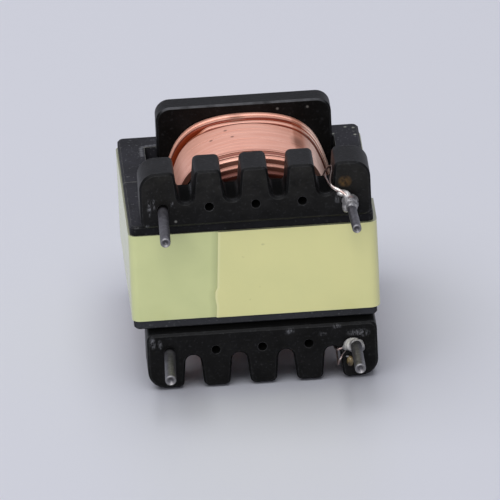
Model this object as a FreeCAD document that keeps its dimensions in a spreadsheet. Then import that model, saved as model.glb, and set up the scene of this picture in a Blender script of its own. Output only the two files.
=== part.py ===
import FreeCAD, Part
import math
import os
import Sketcher

# Small E-core transformer on an upright ten-way bobbin that stands on four of its pins. Millimetres.
# The pins point down to the board, the winding's axis is upright, and the rails of pins run along X.
# Origin: the middle of the four pins, at the height of the rails' underside.

V = FreeCAD.Vector

# Driving dimensions. The document's spreadsheet holds them and everything below reads them from it.
sizes = {
    "pin_pitch": 2.5,              # between neighbouring places along a rail
    "places_per_rail": 5,
    "row_spacing": 8.4,            # between the two rows of pins
    "pin_diameter": 0.6,
    "pin_reach": 3.9,              # pin below the rails
    "pin_embed": 1.8,              # pin inside its rail
    "pin_chamfer": 0.1,
    "empty_bore": 0.5,             # bore of a place with no pin
    "core_width": 13.1,
    "core_depth": 6.05,
    "half_height": 6.0,            # one E half, back to mating face
    "core_back": 1.45,
    "outer_leg": 1.4,
    "centre_leg": 2.75,
    "ground_gap": 0.15,            # taken off the lower half's centre leg
    "core_corner": 0.35,
    "core_edge": 0.1,              # tumbled edges of the two faces
    "core_lift": 0.6,              # core above the seating plane
    "core_slide": 0.25,            # the core has slid to -X by the play of its leg
    "tape_width": 5.0,
    "tape_thickness": 0.1,
    "tape_layer": 0.09,            # the last turn, whose end shows
    "tape_end": 1.95,              # that end, left of the middle
    "tape_climb": 3.0,             # how far up the right side the last turn is laid
    "rail_length": 12.4,
    "rail_reach": 6.3,             # middle of the part to the tips of the teeth
    "rail_height": 2.2,
    "rail_clearance": 0.12,        # rail to the core's face
    "rail_corner": 0.95,
    "rail_inner_corner": 0.4,
    "rail_edge": 0.12,             # broken edges of the underside
    "notch_root": 0.84,            # width of a wire notch at its round bottom
    "notch_mouth": 1.14,
    "notch_beyond_row": 0.28,      # bottom of a notch beyond the pins' centre line
    "tooth_corner": 0.3,
    "plate_thickness": 0.6,
    "plate_gap": 0.05,             # plate above the core's window floor
    "plate_reach": 4.4,            # the plate ends just behind the bottoms of the notches
    "leg_play_x": 0.28,
    "leg_play_y": 0.12,
    "tube_wall": 0.5,
    "tube_corner": 0.6,
    "flange_width": 9.5,
    "flange_depth": 11.7,
    "flange_thickness": 1.3,
    "flange_corner": 0.8,
    "flange_edge": 0.1,
    "flange_gap": 0.1,             # flange to the core's back
    "coil_half_width": 4.5,        # the even band of the outer winding
    "coil_build": 1.595,           # both windings, out from the tube's front and back
    "coil_end_radius": 6.4,
    "coil_side_radius": 8.5,
    "coil_corner_radius": 2.5,
    "coil_thickness": 0.95,
    "even_turns": 8,
    "turn_bulge": 0.06,            # how far a turn's crest stands out of its grooves
    "raised_turn": 0.2,            # turns laid on top against the flange
    "lip_turn": 0.08,
    "turn_step": 0.07,             # each turn below the even band sits a little further in
    "bottom_inset": 0.8,           # the lowest turns keep well back from the rails
    "wrap_thickness": 0.08,        # tape between the windings
    "strand_diameter": 0.2,
    "strand_gap": 0.03,
    "solder_radius": 0.55,         # joints of the two right pins
    "solder_height": 1.05,
    "tinned_radius": 0.4,          # old tin round the roots of the two left pins
    "tinned_height": 0.3,
}

os.makedirs("parts", exist_ok=True)
doc = FreeCAD.newDocument("transformer")
sheet = doc.addObject("Spreadsheet::Sheet", "sizes")
for row, (alias, size) in enumerate(sizes.items(), start=1):
    sheet.set(f"A{row}", alias)
    sheet.set(f"B{row}", str(size))
    sheet.setAlias(f"B{row}", alias)
doc.recompute()

# Heights and places that several pieces share, as formulas on the sheet's cells.
coreTop = "(sizes.core_lift + 2 * sizes.half_height)"
coreMiddle = "(sizes.core_lift + sizes.half_height)"
windowFloor = "(sizes.core_lift + sizes.core_back)"
plateUnder = f"({windowFloor} + sizes.plate_gap)"
plateTop = f"({plateUnder} + sizes.plate_thickness)"
windowCeiling = f"({coreTop} - sizes.core_back)"
flangeTop = f"({windowCeiling} - sizes.flange_gap)"
flangeUnder = f"({flangeTop} - sizes.flange_thickness)"
rowY = "(sizes.row_spacing / 2)"
endPinX = "(sizes.pin_pitch * (sizes.places_per_rail - 1) / 2)"
railInnerY = "(sizes.core_depth / 2 + sizes.rail_clearance)"
tubeHalfDepth = "(sizes.core_depth / 2 + sizes.leg_play_y + sizes.tube_wall)"
notchY = f"({rowY} + sizes.notch_beyond_row)"


def value(formula):
    return float(sheet.evalExpression(formula))


# ---- sketches and features -------------------------------------------------------------------------

def newBody(name):
    body = doc.addObject("PartDesign::Body", name)
    body.Label = name
    return body


def newSketch(body, name, role, offset=None):
    # a sketch on one of the body's own origin planes, moved along that plane's normal by a formula
    sketch = body.newObject("Sketcher::SketchObject", name)
    plane = [feature for feature in body.Origin.OriginFeatures if feature.Role == role][0]
    sketch.AttachmentSupport = [(plane, "")]
    sketch.MapMode = "FlatFace"
    if offset:
        sketch.setExpression("AttachmentOffset.Base.z", offset)
    return sketch


def bindPoint(sketch, line, end, x, y):
    """Holds one end of a line at two formulas, measured from the sketch's origin."""
    for kind, formula in (("DistanceX", x), ("DistanceY", y)):
        index = sketch.addConstraint(Sketcher.Constraint(kind, -1, 1, line, end, value(formula)))
        sketch.setExpression(f"Constraints[{index}]", formula)


def outline(sketch, points):
    """A closed straight-sided outline whose corners are pairs of formulas."""
    corners = [V(value(x), value(y), 0) for x, y in points]
    count = len(points)
    lines = [
        sketch.addGeometry(Part.LineSegment(corners[i], corners[(i + 1) % count]))
        for i in range(count)
    ]
    for i in range(count):
        sketch.addConstraint(Sketcher.Constraint("Coincident", lines[i], 2, lines[(i + 1) % count], 1))
        bindPoint(sketch, lines[i], 1, *points[i])
    return lines


def rectangle(sketch, left, right, low, high):
    return outline(sketch, [(left, low), (right, low), (right, high), (left, high)])


def circle(sketch, x, y, diameter):
    ring = sketch.addGeometry(Part.Circle(V(value(x), value(y), 0), V(0, 0, 1), value(diameter) / 2))
    bindPoint(sketch, ring, 3, x, y)
    index = sketch.addConstraint(Sketcher.Constraint("Diameter", ring, value(diameter)))
    sketch.setExpression(f"Constraints[{index}]", diameter)


def pad(body, name, sketch, length, symmetric=False):
    feature = body.newObject("PartDesign::Pad", name)
    feature.Profile = sketch
    feature.setExpression("Length", length)
    if symmetric:
        feature.SideType = "Symmetric"
    doc.recompute()
    return feature


def pocket(body, name, sketch, length, reverse=False, symmetric=False):
    """Cuts a sketch into the body and makes sure that it took something away."""
    before = body.Shape.Volume
    feature = body.newObject("PartDesign::Pocket", name)
    feature.Profile = sketch
    feature.setExpression("Length", length)
    feature.Reversed = reverse
    if symmetric:
        feature.SideType = "Symmetric"
    doc.recompute()
    if feature.Shape.Volume >= before:
        raise RuntimeError(f"{name} cuts nothing")
    return feature


def repeatAlongX(body, name, feature, count, spacing):
    pattern = body.newObject("PartDesign::LinearPattern", name)
    axis = [item for item in body.Origin.OriginFeatures if item.Role == "X_Axis"][0]
    pattern.Originals = [feature]
    pattern.Direction = (axis, [""])
    pattern.Mode = "Spacing"
    pattern.setExpression("Occurrences", count)
    pattern.setExpression("Offset", spacing)
    body.Tip = pattern
    doc.recompute()
    return pattern


def edgesWhere(shape, test, upright):
    """Names of the edges whose ends and middle all pass the test, either the upright ones or the others."""
    names = []
    for number, edge in enumerate(shape.Edges, start=1):
        middle = edge.valueAt((edge.FirstParameter + edge.LastParameter) / 2)
        places = [vertex.Point for vertex in edge.Vertexes] + [middle]
        leans = any(not near(place.x, middle.x) or not near(place.y, middle.y) for place in places)
        if leans != upright and all(test(place) for place in places):
            names.append(f"Edge{number}")
    return names


def roundEdges(body, name, radius, test, upright=True):
    base = body.Tip
    feature = body.newObject("PartDesign::Fillet", name)
    feature.Base = (base, edgesWhere(base.Shape, test, upright))
    feature.setExpression("Radius", radius)
    doc.recompute()
    return feature


def bevelEdges(body, name, size, test):
    base = body.Tip
    feature = body.newObject("PartDesign::Chamfer", name)
    feature.Base = (base, edgesWhere(base.Shape, test, upright=False))
    feature.setExpression("Size", size)
    doc.recompute()
    return feature


def near(a, b):
    return abs(a - b) < 1e-4


# ---- bobbin: one moulding with two rails of pins, a tube for the core's leg and a top flange --------

def makeBobbin():
    body = newBody("bobbin")
    halfRail = "sizes.rail_length / 2"
    reach = value("sizes.rail_reach")
    inner = value(railInnerY)
    railEnd = value(halfRail)

    rails = newSketch(body, "rail_blocks", "XY_Plane")
    rectangle(rails, f"-{halfRail}", halfRail, railInnerY, "sizes.rail_reach")
    rectangle(rails, f"-{halfRail}", halfRail, "-sizes.rail_reach", f"-{railInnerY}")
    pad(body, "rail_pad", rails, "sizes.rail_height")
    roundEdges(body, "rail_tip_corners", "sizes.rail_corner",
               lambda p: near(abs(p.x), railEnd) and near(abs(p.y), reach))
    roundEdges(body, "rail_inner_corners", "sizes.rail_inner_corner",
               lambda p: near(abs(p.x), railEnd) and near(abs(p.y), inner))

    notch = newSketch(body, "wire_notch", "XY_Plane")
    firstNotchX = f"(sizes.pin_pitch / 2 - {endPinX})"
    for side in (-1, 1):
        addNotch(notch, firstNotchX, side)
    cut = pocket(body, "wire_notch_cut", notch, "sizes.rail_height", reverse=True)
    repeatAlongX(body, "wire_notches", cut, "sizes.places_per_rail - 1", "sizes.pin_pitch")
    tipFlat = railEnd - value("sizes.rail_corner")
    roundEdges(body, "tooth_corners", "sizes.tooth_corner",
               lambda p: near(abs(p.y), reach) and abs(p.x) < tipFlat - 1e-3)

    bevelEdges(body, "underside_edges", "sizes.rail_edge", lambda p: near(p.z, 0))

    plate = newSketch(body, "winding_plate", "XY_Plane", plateUnder)
    rectangle(plate, "-sizes.flange_width / 2", "sizes.flange_width / 2",
              "-sizes.plate_reach", "sizes.plate_reach")
    pad(body, "winding_plate_pad", plate, "sizes.plate_thickness")

    tubeX = "(sizes.centre_leg / 2 + sizes.leg_play_x + sizes.tube_wall)"
    tube = newSketch(body, "tube", "XY_Plane", plateUnder)
    rectangle(tube, f"-{tubeX}", tubeX, f"-{tubeHalfDepth}", tubeHalfDepth)
    pad(body, "tube_pad", tube, f"{flangeTop} - {plateUnder}")
    roundEdges(body, "tube_corners", "sizes.tube_corner",
               lambda p: near(abs(p.x), value(tubeX)) and near(abs(p.y), value(tubeHalfDepth)))

    flange = newSketch(body, "flange", "XY_Plane", flangeUnder)
    rectangle(flange, "-sizes.flange_width / 2", "sizes.flange_width / 2",
              "-sizes.flange_depth / 2", "sizes.flange_depth / 2")
    pad(body, "flange_pad", flange, "sizes.flange_thickness")
    flangeX = value("sizes.flange_width / 2")
    flangeY = value("sizes.flange_depth / 2")
    roundEdges(body, "flange_corners", "sizes.flange_corner",
               lambda p: near(abs(p.x), flangeX) and near(abs(p.y), flangeY)
               and p.z > value(flangeUnder) - 1e-4)
    rimCorner = value("sizes.flange_corner")
    bevelEdges(body, "flange_edges", "sizes.flange_edge",
               lambda p: (near(p.z, value(flangeTop)) or near(p.z, value(flangeUnder)))
               and (abs(p.x) > flangeX - rimCorner - 1e-4 or abs(p.y) > flangeY - rimCorner - 1e-4))

    legHole = newSketch(body, "leg_hole", "XY_Plane")
    holeX = "(sizes.centre_leg / 2 + sizes.leg_play_x)"
    holeY = "(sizes.core_depth / 2 + sizes.leg_play_y)"
    rectangle(legHole, f"-{holeX}", holeX, f"-{holeY}", holeY)
    pocket(body, "leg_hole_cut", legHole, flangeTop, reverse=True)

    bores = newSketch(body, "pin_bores", "XY_Plane")
    for x in (f"-{endPinX}", endPinX):
        for y in (f"-{rowY}", rowY):
            circle(bores, x, y, "sizes.pin_diameter")
    pocket(body, "pin_bores_cut", bores, "sizes.pin_embed", reverse=True)
    empty = newSketch(body, "empty_bores", "XY_Plane")
    for y in (f"-{rowY}", rowY):
        circle(empty, f"(sizes.pin_pitch - {endPinX})", y, "sizes.empty_bore")
    cut = pocket(body, "empty_bores_cut", empty, "sizes.pin_embed", reverse=True)
    repeatAlongX(body, "empty_bore_row", cut, "sizes.places_per_rail - 2", "sizes.pin_pitch")
    return body


def addNotch(sketch, centreX, side):
    """A wire notch: a round bottom that opens, a little flared, beyond the tips of the teeth."""
    sign = "-" if side < 0 else ""
    beyond = "(sizes.rail_reach + sizes.notch_root)"
    length = f"(sizes.rail_reach - {notchY})"
    flare = f"(sizes.notch_mouth - sizes.notch_root) / 2 / {length}"
    widest = f"(sizes.notch_mouth / 2 + sizes.notch_root * {flare})"
    x = value(centreX)
    radius = value("sizes.notch_root / 2")
    rootY = value(f"{notchY} + sizes.notch_root / 2")
    mouthHalf = value(widest)
    mouthY = value(beyond)
    tilt = math.atan2(mouthHalf - radius, mouthY - rootY)
    leftRoot = V(x - radius * math.cos(tilt), side * (rootY - radius * math.sin(tilt)), 0)
    rightRoot = V(x + radius * math.cos(tilt), side * (rootY - radius * math.sin(tilt)), 0)
    bottom = V(x, side * (rootY - radius), 0)
    leftMouth = V(x - mouthHalf, side * mouthY, 0)
    rightMouth = V(x + mouthHalf, side * mouthY, 0)
    for part in (Part.LineSegment(leftMouth, leftRoot), Part.Arc(leftRoot, bottom, rightRoot),
                 Part.LineSegment(rightRoot, rightMouth), Part.LineSegment(rightMouth, leftMouth)):
        sketch.addGeometry(part)
    left, arc, right, mouth = range(sketch.GeometryCount - 4, sketch.GeometryCount)
    arcEnds = (1, 2) if side > 0 else (2, 1)
    sketch.addConstraint(Sketcher.Constraint("Tangent", left, 2, arc, arcEnds[0]))
    sketch.addConstraint(Sketcher.Constraint("Tangent", arc, arcEnds[1], right, 1))
    sketch.addConstraint(Sketcher.Constraint("Coincident", right, 2, mouth, 1))
    sketch.addConstraint(Sketcher.Constraint("Coincident", mouth, 2, left, 1))
    bindPoint(sketch, arc, 3, centreX, f"{sign}({notchY} + sizes.notch_root / 2)")
    bindPoint(sketch, left, 1, f"{centreX} - {widest}", f"{sign}{beyond}")
    bindPoint(sketch, right, 2, f"{centreX} + {widest}", f"{sign}{beyond}")
    index = sketch.addConstraint(Sketcher.Constraint("Radius", arc, radius))
    sketch.setExpression(f"Constraints[{index}]", "sizes.notch_root / 2")


# ---- core: two E halves, the upper one resting on the lower one's outer legs ------------------------

def makeCoreHalf(name, back, floor, meeting, centreEnd):
    """One E half. The formulas are the heights of its back, window floor, outer legs and centre leg."""
    body = newBody(name)
    half = "sizes.core_width / 2"
    legSide = f"({half} - sizes.outer_leg)"
    centreSide = "sizes.centre_leg / 2"
    rightSide = [(half, back), (half, meeting), (legSide, meeting),
                 (legSide, floor), (centreSide, floor), (centreSide, centreEnd)]
    leftSide = [(f"-{x}", z) for x, z in reversed(rightSide)]
    profile = newSketch(body, f"{name}_profile", "XZ_Plane")
    outline(profile, [(f"{x} - sizes.core_slide", z) for x, z in rightSide + leftSide])
    pad(body, f"{name}_pad", profile, "sizes.core_depth", symmetric=True)
    middle = -value("sizes.core_slide")
    side = value(half)
    roundEdges(body, f"{name}_corners", "sizes.core_corner",
               lambda p: near(abs(p.x - middle), side) and near(p.z, value(back)), upright=False)
    depth = value("sizes.core_depth / 2")
    corner = value("sizes.core_corner")
    bevelEdges(body, f"{name}_edges", "sizes.core_edge",
               lambda p: near(abs(p.y), depth)
               and (near(abs(p.x - middle), side) or abs(p.z - value(back)) < corner + 1e-4))
    return body


# ---- tape: wound round both halves, its last turn ending under the pin side -------------------------

def makeTape():
    body = newBody("core_tape")
    wall = "sizes.tape_thickness"
    built = "(sizes.tape_thickness + sizes.tape_layer)"
    left = f"-(sizes.core_width / 2 + sizes.core_slide + {wall})"
    right = f"(sizes.core_width / 2 - sizes.core_slide + {wall})"
    rightBuilt = f"(sizes.core_width / 2 - sizes.core_slide + {built})"
    low = f"(sizes.core_lift - {wall})"
    lowBuilt = f"(sizes.core_lift - {built})"
    high = f"({coreTop} + {wall})"
    climb = "sizes.core_lift + sizes.tape_climb"
    ring = newSketch(body, "tape_outline", "XZ_Plane")
    outline(ring, [
        (left, low), ("-sizes.tape_end", low), ("-sizes.tape_end", lowBuilt), (rightBuilt, lowBuilt),
        (rightBuilt, climb), (right, climb), (right, high), (left, high),
    ])
    pad(body, "tape_pad", ring, "sizes.tape_width", symmetric=True)
    inside = newSketch(body, "tape_inside", "XZ_Plane")
    insideLeft = "-sizes.core_width / 2 - sizes.core_slide"
    insideRight = "sizes.core_width / 2 - sizes.core_slide"
    rectangle(inside, insideLeft, insideRight, "sizes.core_lift", coreTop)
    pocket(body, "tape_hollow", inside, "2 * sizes.tape_width", symmetric=True)
    roundEdges(body, "tape_inner_corners", "sizes.core_corner",
               lambda p: (near(p.x, value(insideLeft)) or near(p.x, value(insideRight)))
               and (near(p.z, value("sizes.core_lift")) or near(p.z, value(coreTop))), upright=False)
    roundEdges(body, "tape_corners", f"sizes.core_corner + {wall}",
               lambda p: (near(p.x, value(left)) and (near(p.z, value(low)) or near(p.z, value(high))))
               or (near(p.x, value(right)) and near(p.z, value(high))), upright=False)
    roundEdges(body, "tape_built_corner", f"sizes.core_corner + {built}",
               lambda p: near(p.x, value(rightBuilt)) and near(p.z, value(lowBuilt)), upright=False)
    return body


# ---- windings: ovals of eight arcs in plan, one inside the other ------------------------------------

def ovalPlan():
    """Centres and radii of the even band's arcs: two ends, two sides and four corners."""
    endRadius = value("sizes.coil_end_radius")
    sideRadius = value("sizes.coil_side_radius")
    cornerRadius = value("sizes.coil_corner_radius")
    endCentre = V(0, value(f"{tubeHalfDepth} + sizes.coil_build") - endRadius, 0)
    sideCentre = V(value("sizes.coil_half_width") - sideRadius, 0, 0)
    # the corner's centre is where two circles round the other centres cross
    toEnd = endRadius - cornerRadius
    toSide = sideRadius - cornerRadius
    between = sideCentre - endCentre
    along = (between.Length ** 2 + toEnd ** 2 - toSide ** 2) / (2 * between.Length)
    across = math.sqrt(toEnd ** 2 - along ** 2)
    direction = V(between).normalize()
    cornerCentre = endCentre + direction * along + V(-direction.y, direction.x, 0) * -across
    return endCentre, sideCentre, cornerCentre, endRadius, sideRadius, cornerRadius


def pointFrom(centre, through, radius):
    """The point on a circle round centre that lies beyond the point through."""
    return centre + (through - centre).normalize() * radius


def ovalQuarter(inset):
    """Ends and middles of the arcs in the quarter with +X and +Y, from the +Y end to the +X side."""
    endCentre, sideCentre, cornerCentre, endRadius, sideRadius, cornerRadius = ovalPlan()
    radius = cornerRadius - inset
    top = V(0, endCentre.y + endRadius - inset, 0)
    endJoin = pointFrom(cornerCentre, cornerCentre * 2 - endCentre, radius)
    sideJoin = pointFrom(cornerCentre, cornerCentre * 2 - sideCentre, radius)
    cornerMiddle = pointFrom(cornerCentre, (endJoin + sideJoin) / 2, radius)
    side = V(sideCentre.x + sideRadius - inset, 0, 0)
    return top, endJoin, cornerMiddle, sideJoin, side


def ovalWire(inset, z):
    top, endJoin, cornerMiddle, sideJoin, side = ovalQuarter(inset)

    def placed(point, signX, signY):
        return V(point.x * signX, point.y * signY, z)

    edges = []
    for signX, signY in ((1, 1), (1, -1), (-1, -1), (-1, 1)):
        end, middle, start = [placed(point, signX, signY) for point in (endJoin, cornerMiddle, sideJoin)]
        if signX * signY > 0:
            arcs = [(end, middle, start), (start, placed(side, signX, signY), placed(sideJoin, signX, -signY))]
        else:
            arcs = [(start, middle, end), (end, placed(top, signX, signY), placed(endJoin, -signX, signY))]
        edges += [Part.Arc(*arc).toShape() for arc in arcs]
    return Part.Wire(edges)


def addFeature(name, shape):
    feature = doc.addObject("Part::Feature", name)
    feature.Label = name
    feature.Shape = shape
    return feature


def ovalPrism(inset):
    low = value(plateTop)
    face = Part.Face(ovalWire(inset, low))
    return face.extrude(V(0, 0, value(flangeUnder) - low))


def makePrimary():
    """The inner winding fills the space between the tube and the tape between the windings."""
    halfX = value("sizes.centre_leg / 2 + sizes.leg_play_x + sizes.tube_wall")
    halfY = value(tubeHalfDepth)
    tube = Part.makeBox(2 * halfX, 2 * halfY, value(flangeTop), V(-halfX, -halfY, 0))
    corners = [edge for edge in tube.Edges if near(edge.Vertexes[0].X, edge.Vertexes[1].X)
               and near(edge.Vertexes[0].Y, edge.Vertexes[1].Y)]
    tube = tube.makeFillet(value("sizes.tube_corner"), corners)
    outer = ovalPrism(value("sizes.coil_thickness + sizes.wrap_thickness"))
    return addFeature("primary_winding", outer.cut(tube))


def makeWrap():
    outer = ovalPrism(value("sizes.coil_thickness"))
    inner = ovalPrism(value("sizes.coil_thickness + sizes.wrap_thickness"))
    return addFeature("winding_wrap", outer.cut(inner))


def turnLevels():
    """How far each turn lies inside the even band, from the flange down to the rails."""
    levels = [-value("sizes.raised_turn")] * 2
    levels.append(-value("sizes.lip_turn"))
    levels += [0.0] * int(value("sizes.even_turns"))
    levels += [value("sizes.turn_step") * steps for steps in (0.5, 1.5, 2.5, 4)]
    levels += [value("sizes.bottom_inset")] * 2
    return levels


def turnSection(centre, direction, radius):
    """The outer winding's section. The even band is flush, and every other turn is a ridge of its own."""
    levels = turnLevels()
    ceiling = value(flangeUnder)
    pitch = (ceiling - value(plateTop)) / len(levels)
    bulge = value("sizes.turn_bulge")
    inner = radius - value("sizes.coil_thickness")

    def at(distance, z):
        place = centre + direction * distance
        return V(place.x, place.y, z)

    edges = []
    last = at(inner, ceiling)
    for turn, level in enumerate(levels):
        z = ceiling - turn * pitch
        groove = bulge if level else 0
        start = at(radius - level - groove, z)
        end = at(radius - level - groove, z - pitch)
        route = [last, start, at(radius - level, z - pitch / 2), end] if level else [last, start, end]
        for first, second in zip(route, route[1:]):
            if first.distanceToPoint(second) > 1e-6:
                edges.append(Part.LineSegment(first, second).toShape())
        last = end
    foot = at(inner, ceiling - pitch * len(levels))
    edges.append(Part.LineSegment(last, foot).toShape())
    edges.append(Part.LineSegment(foot, at(inner, ceiling)).toShape())
    return Part.Face(Part.Wire(edges))


def makeSecondary():
    """The outer winding: its section is turned round the centre of each arc of the oval in turn."""
    endCentre, sideCentre, cornerCentre, endRadius, sideRadius, cornerRadius = ovalPlan()
    top, endJoin, cornerMiddle, sideJoin, side = ovalQuarter(0)

    def bearing(centre, point):
        return math.degrees(math.atan2(point.y - centre.y, point.x - centre.x))

    upright = V(0, 0, 1)
    endHalf = 90 - bearing(endCentre, endJoin)
    sideHalf = bearing(sideCentre, sideJoin)
    cornerFrom = bearing(cornerCentre, sideJoin)
    cornerTo = bearing(cornerCentre, endJoin)
    arcs = [
        (endCentre, endRadius, 90 - endHalf, 90 + endHalf),
        (sideCentre, sideRadius, -sideHalf, sideHalf),
        (cornerCentre, cornerRadius, cornerFrom, cornerTo),
        (V(-cornerCentre.x, cornerCentre.y, 0), cornerRadius, 180 - cornerTo, 180 - cornerFrom),
    ]
    pieces = []
    for centre, radius, first, last in arcs:
        direction = V(math.cos(math.radians(first)), math.sin(math.radians(first)), 0)
        piece = turnSection(centre, direction, radius).revolve(centre, upright, last - first)
        pieces.append(piece)
        pieces.append(piece.rotated(V(0, 0, 0), upright, 180))
    winding = pieces[0].multiFuse(pieces[1:]).removeSplitter()
    return addFeature("secondary_winding", winding.Solids[0] if len(winding.Solids) == 1 else winding)


# ---- leads: the two strands of each end of the outer winding, down a notch to their pin ---------------

wireSides = 6    # a strand is so fine that six faces make it round


def leadPoints(side, strand):
    """The route of one strand, from the winding's last turn over the rail's edge to the foot of its pin."""
    radius = value("sizes.strand_diameter / 2")
    apart = value("sizes.strand_diameter + sizes.strand_gap")
    clear = radius + value("sizes.strand_gap")
    notchX = value(f"{endPinX} - sizes.pin_pitch / 2")
    notchWall = notchX + value("sizes.notch_root / 2")
    rootY = value(notchY)
    pinX = value(endPinX)
    pinY = value(rowY)
    pinSide = value("sizes.pin_diameter / 2") + clear
    lastTurn = turnLevels()[-1]
    cornerMiddle = ovalQuarter(lastTurn)[2]
    outward = (cornerMiddle - ovalPlan()[2]).normalize()
    leave = cornerMiddle + outward * clear
    along = V(-outward.y, outward.x, 0)
    laneX = notchWall - clear - apart * strand
    laneY = rootY + 2 * clear + apart * strand
    top = value(plateTop) + clear
    below = -clear - apart * strand
    points = [
        V(leave.x, leave.y, top + apart * (strand + 0.5)),
        V((leave.x + along.x * 0.2 + laneX) / 2, (leave.y + laneY) / 2, top + apart * (strand + 0.5)),
        V(laneX, laneY, top),
        V(laneX, laneY + apart, below),
        V(pinX - pinSide * 0.6, pinY + pinSide * 0.8, below),
    ]
    return [V(point.x, point.y * side, point.z) for point in points]


def wireAlong(points, diameter):
    """A wire on straight runs joined by tangent arcs, each as wide as its runs allow."""
    edges = []
    start = points[0]
    for before, corner, after in zip(points, points[1:], points[2:]):
        trim = 0.45 * min(before.distanceToPoint(corner), after.distanceToPoint(corner))
        back = (before - corner).normalize()
        onward = (after - corner).normalize()
        halfAngle = back.getAngle(onward) / 2
        bendRadius = trim * math.tan(halfAngle)
        inward = (back + onward).normalize()
        middle = corner + inward * (bendRadius / math.sin(halfAngle) - bendRadius)
        edges.append(Part.LineSegment(start, corner + back * trim).toShape())
        edges.append(Part.Arc(corner + back * trim, middle, corner + onward * trim).toShape())
        start = corner + onward * trim
    edges.append(Part.LineSegment(start, points[-1]).toShape())
    path = Part.Wire(edges)
    across = (points[1] - points[0]).cross(V(0, 0, 1)).normalize() * (diameter / 2)
    axis = points[1] - points[0]
    around = [FreeCAD.Rotation(axis, 360 * i / wireSides).multVec(across) for i in range(wireSides)]
    section = Part.makePolygon([points[0] + spoke for spoke in around + around[:1]])
    wire = path.makePipeShell([section], True, False)
    area = Part.Face(section).Area
    if abs(wire.Volume / (path.Length * area) - 1) > 0.01:
        raise RuntimeError("a lead's volume isn't its section times its length")
    return wire


def makeLead(name, side):
    strands = []
    for strand in (0, 1):
        wire = wireAlong(leadPoints(side, strand), value("sizes.strand_diameter"))
        strands.append(addFeature(f"{name}_strand_{strand + 1}", wire))
    return strands


# ---- pins: each is turned about its own axis with the tin that sits round its root -------------------

def makePin(name, x, y, tinRadius, tinHeight):
    body = newBody(name)
    radius = "sizes.pin_diameter / 2"
    half = newSketch(body, f"{name}_half", "XZ_Plane")
    outline(half, [
        (radius, "-sizes.pin_reach + sizes.pin_chamfer"), (radius, f"-{tinHeight}"),
        (tinRadius, "0"), (radius, "0"), (radius, "sizes.pin_embed"), ("0", "sizes.pin_embed"),
        ("0", "-sizes.pin_reach"), (f"{radius} - sizes.pin_chamfer", "-sizes.pin_reach"),
    ])
    turned = body.newObject("PartDesign::Revolution", f"{name}_turned")
    turned.Profile = half
    turned.ReferenceAxis = ([item for item in body.Origin.OriginFeatures if item.Role == "Z_Axis"][0], [""])
    turned.Angle = 360
    body.setExpression("Placement.Base.x", x)
    body.setExpression("Placement.Base.y", y)
    doc.recompute()
    return body


def makeSolderedPin(name, x, y, strands):
    """A pin whose joint has run round the strands, so they leave their own shape in it."""
    joined = makePin(f"{name}_blank", x, y, "sizes.solder_radius", "sizes.solder_height")
    for number, strand in enumerate(strands, start=1):
        cut = doc.addObject("Part::Cut", f"{name}_cut_{number}")
        cut.Base = joined
        cut.Tool = strand
        joined = cut
    joined.Label = name
    doc.recompute()
    return joined


# ---- the whole part ---------------------------------------------------------------------------------

def checked(nodes):
    for item in doc.Objects:
        if "Invalid" in item.State or "Error" in item.State:
            raise RuntimeError(f"{item.Label} failed: {item.State}")
    for node in nodes:
        shape = node.Shape
        if shape.isNull() or not shape.isValid() or len(shape.Solids) != 1:
            raise RuntimeError(f"{node.Label} is not one valid solid")
    return nodes


lowerLegEnd = f"({coreMiddle} - sizes.ground_gap)"
parts = [
    makeBobbin(),
    makeCoreHalf("core_lower", "sizes.core_lift", windowFloor, coreMiddle, lowerLegEnd),
    makeCoreHalf("core_upper", coreTop, windowCeiling, coreMiddle, coreMiddle),
    makeTape(),
    makePrimary(),
    makeWrap(),
    makeSecondary(),
    makePin("pin_front_left", f"-{endPinX}", f"-{rowY}", "sizes.tinned_radius", "sizes.tinned_height"),
    makePin("pin_back_left", f"-{endPinX}", rowY, "sizes.tinned_radius", "sizes.tinned_height"),
]
for place, side in (("front", -1), ("back", 1)):
    lead = makeLead(f"{place}_lead", side)
    parts += lead
    parts.append(makeSolderedPin(f"pin_{place}_right", endPinX, f"{side} * {rowY}", lead))
doc.recompute()

for node in checked(parts):
    node.Shape.exportStep(f"parts/{node.Label}.step")
    print(node.Label, round(node.Shape.Volume, 2), "mm3")
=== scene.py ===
import math

import bmesh
import bpy
from mathutils import Matrix, Vector, noise as fractalNoise


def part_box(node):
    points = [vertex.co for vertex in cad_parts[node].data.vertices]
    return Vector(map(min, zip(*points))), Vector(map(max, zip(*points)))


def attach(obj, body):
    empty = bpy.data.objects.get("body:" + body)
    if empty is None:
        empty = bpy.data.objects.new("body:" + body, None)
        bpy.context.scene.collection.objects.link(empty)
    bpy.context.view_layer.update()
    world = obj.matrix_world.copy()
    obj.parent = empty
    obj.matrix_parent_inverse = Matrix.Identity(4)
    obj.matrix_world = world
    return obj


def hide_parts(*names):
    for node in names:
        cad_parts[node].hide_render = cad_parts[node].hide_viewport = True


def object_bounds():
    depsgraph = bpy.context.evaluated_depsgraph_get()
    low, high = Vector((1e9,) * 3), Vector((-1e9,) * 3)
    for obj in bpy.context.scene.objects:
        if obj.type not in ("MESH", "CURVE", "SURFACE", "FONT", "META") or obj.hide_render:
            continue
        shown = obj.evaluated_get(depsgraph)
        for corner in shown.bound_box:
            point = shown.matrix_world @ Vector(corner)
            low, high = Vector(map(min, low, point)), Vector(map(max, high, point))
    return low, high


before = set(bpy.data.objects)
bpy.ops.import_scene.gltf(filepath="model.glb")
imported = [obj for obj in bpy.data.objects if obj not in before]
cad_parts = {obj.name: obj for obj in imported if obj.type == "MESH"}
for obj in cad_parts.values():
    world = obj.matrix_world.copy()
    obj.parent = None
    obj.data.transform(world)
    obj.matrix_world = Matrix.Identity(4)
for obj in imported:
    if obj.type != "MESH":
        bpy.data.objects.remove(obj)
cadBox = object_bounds()
mm = 0.001


# ---- helpers

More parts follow.
